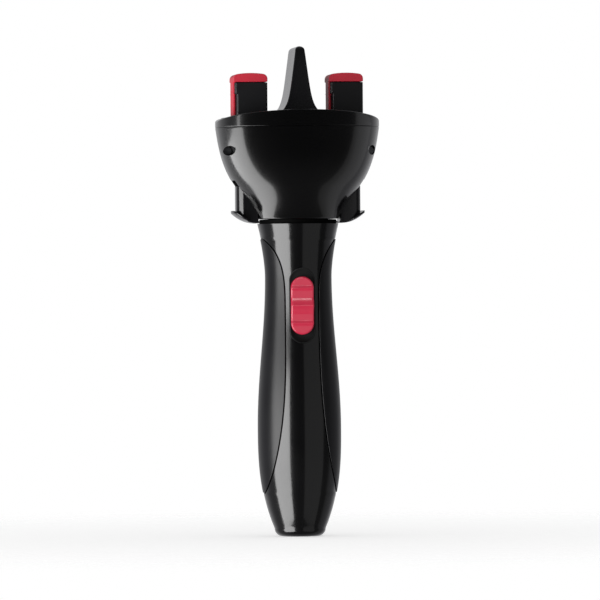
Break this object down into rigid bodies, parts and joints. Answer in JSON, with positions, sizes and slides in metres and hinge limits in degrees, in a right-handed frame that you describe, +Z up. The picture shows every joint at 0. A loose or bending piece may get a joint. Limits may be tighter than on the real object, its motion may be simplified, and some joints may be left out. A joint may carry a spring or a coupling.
{
  "type": "automatic hair braider",
  "caption": "Battery hair braider: a waisted handle with slide switch carries a turning funnel head with lever-opened twisting clips beside a tall fin.",
  "frame": {"origin": "centre of the flat foot of the handle, at the bottom of the object's box", "axes": "+Z up the handle through the head's turning axis, -Y towards the switch, +X to the right as seen from the switch"},
  "size_m": [0.082, 0.082, 0.2445],
  "materials": {
    "casing_black": "high gloss",
    "grip_black": "satin, fine grain",
    "head_black": "high gloss",
    "divider_black": "satin gloss",
    "recess_black": "matte",
    "slider_red": "gloss",
    "hook_red": "satin gloss",
    "clip_black": "satin",
    "lever_black": "gloss",
    "collar_black": "matte",
    "inner_black": "matte",
    "gear_white": "moulded acetal",
    "steel": "plain",
    "brass": "plain",
    "cell_wrap": "printed sleeve, left plain",
    "board_green": "solder mask",
    "lead_red": "wire insulation",
    "lead_black": "wire insulation"
  },
  "bodies": {
    "handle": {"front_shell": "casing_black", "rear_shell": "casing_black", "case_screws": "steel", "left_grip": "grip_black", "right_grip": "grip_black", "battery_tray": "inner_black", "battery_cells": "cell_wrap", "battery_springs": "steel", "battery_contacts": "steel", "battery_leads": "lead_red", "switch_bezel": "recess_black", "slide_switch": "steel", "circuit_board": "board_green", "board_screws": "steel", "motor": "steel", "motor_leads": "lead_black", "side_pin": "steel", "gearbox_housing": "collar_black", "gearbox_cap": "gear_white", "retaining_ring": "steel"},
    "cover": {"battery_cover": "casing_black"},
    "switch_slider": {"slider": "slider_red", "slider_skirt": "inner_black", "switch_knob": "inner_black"},
    "motor_shaft": {"motor_pinion": "brass"},
    "lower_gear": {"lower_side_gear": "gear_white"},
    "centre_gear": {"middle_gear": "gear_white"},
    "upper_gear": {"upper_side_gear": "gear_white"},
    "output": {"output_shaft": "steel"},
    "head": {"head_bush": "gear_white", "front_funnel": "head_black", "rear_funnel": "head_black", "head_screws": "steel", "gear_carrier": "gear_white", "carrier_screws": "steel", "lid": "head_black", "divider": "divider_black"},
    "sun": {"sun_gear": "gear_white", "clutch_sleeve": "steel"},
    "left_twister": {"left_turntable": "clip_black", "left_planet_gear": "gear_white", "left_clip_body": "clip_black", "left_spring": "steel"},
    "left_hook_body": {"left_hook": "hook_red", "left_rod": "steel"},
    "left_lever_body": {"left_lever": "lever_black"},
    "right_twister": {"right_turntable": "clip_black", "right_planet_gear": "gear_white", "right_clip_body": "clip_black", "right_spring": "steel"},
    "right_hook_body": {"right_hook": "hook_red", "right_rod": "steel"},
    "right_lever_body": {"right_lever": "lever_black"}
  },
  "joints": [
    {"name": "battery_cover_off", "type": "slide", "parent": "handle", "child": "cover", "axis": [0, 1, 0], "range_m": [0, 0.04]},
    {"name": "switch_slide", "type": "slide", "parent": "handle", "child": "switch_slider", "axis": [0, 0, 1], "range_m": [-0.0036, 0.0036]},
    {"name": "head_turn", "type": "hinge", "parent": "handle", "child": "head", "pos_m": [0, 0, 0.1585], "axis": [0, 0, 1], "continuous": true},
    {"name": "sun_turn", "type": "hinge", "parent": "head", "child": "sun", "pos_m": [0, 0, 0.1995], "axis": [0, 0, 1], "continuous": true},
    {"name": "output_turn", "type": "hinge", "parent": "handle", "child": "output", "pos_m": [0, 0, 0.165], "axis": [0, 0, 1], "continuous": true},
    {"name": "upper_gear_turn", "type": "hinge", "parent": "handle", "child": "upper_gear", "pos_m": [0, 0.0075, 0.162], "axis": [0, 0, 1], "continuous": true},
    {"name": "centre_gear_turn", "type": "hinge", "parent": "handle", "child": "centre_gear", "pos_m": [0, 0, 0.159], "axis": [0, 0, 1], "continuous": true},
    {"name": "lower_gear_turn", "type": "hinge", "parent": "handle", "child": "lower_gear", "pos_m": [0, 0.0075, 0.156], "axis": [0, 0, 1], "continuous": true},
    {"name": "motor_turn", "type": "hinge", "parent": "handle", "child": "motor_shaft", "pos_m": [0, 0, 0.155], "axis": [0, 0, 1], "continuous": true},
    {"name": "left_twist", "type": "hinge", "parent": "head", "child": "left_twister", "pos_m": [-0.024, 0, 0.2], "axis": [0, 0, 1], "continuous": true},
    {"name": "left_lever_push", "type": "slide", "parent": "head", "child": "left_lever_body", "axis": [0, 0, 1], "range_m": [0, 0.01], "stiffness_N_per_m": 150, "springref_m": -0.004},
    {"name": "left_hook_lift", "type": "slide", "parent": "left_twister", "child": "left_hook_body", "axis": [0, 0, 1], "range_m": [0, 0.01], "deforming": ["left_spring"]},
    {"name": "right_twist", "type": "hinge", "parent": "head", "child": "right_twister", "pos_m": [0.024, 0, 0.2], "axis": [0, 0, 1], "continuous": true},
    {"name": "right_lever_push", "type": "slide", "parent": "head", "child": "right_lever_body", "axis": [0, 0, 1], "range_m": [0, 0.01], "stiffness_N_per_m": 150, "springref_m": -0.004},
    {"name": "right_hook_lift", "type": "slide", "parent": "right_twister", "child": "right_hook_body", "axis": [0, 0, 1], "range_m": [0, 0.01], "deforming": ["right_spring"]}
  ],
  "couplings": [
    {"joint": "output_turn", "follows": "sun_turn", "ratio": 1},
    {"joint": "upper_gear_turn", "follows": "sun_turn", "ratio": -2.75},
    {"joint": "centre_gear_turn", "follows": "sun_turn", "ratio": 7.5625},
    {"joint": "lower_gear_turn", "follows": "sun_turn", "ratio": -20.797},
    {"joint": "motor_turn", "follows": "sun_turn", "ratio": 57.191},
    {"joint": "left_twist", "follows": "sun_turn", "ratio": -1.5},
    {"joint": "left_hook_lift", "follows": "left_lever_push", "ratio": 1},
    {"joint": "right_twist", "follows": "sun_turn", "ratio": -1.5},
    {"joint": "right_hook_lift", "follows": "right_lever_push", "ratio": 1}
  ]
}
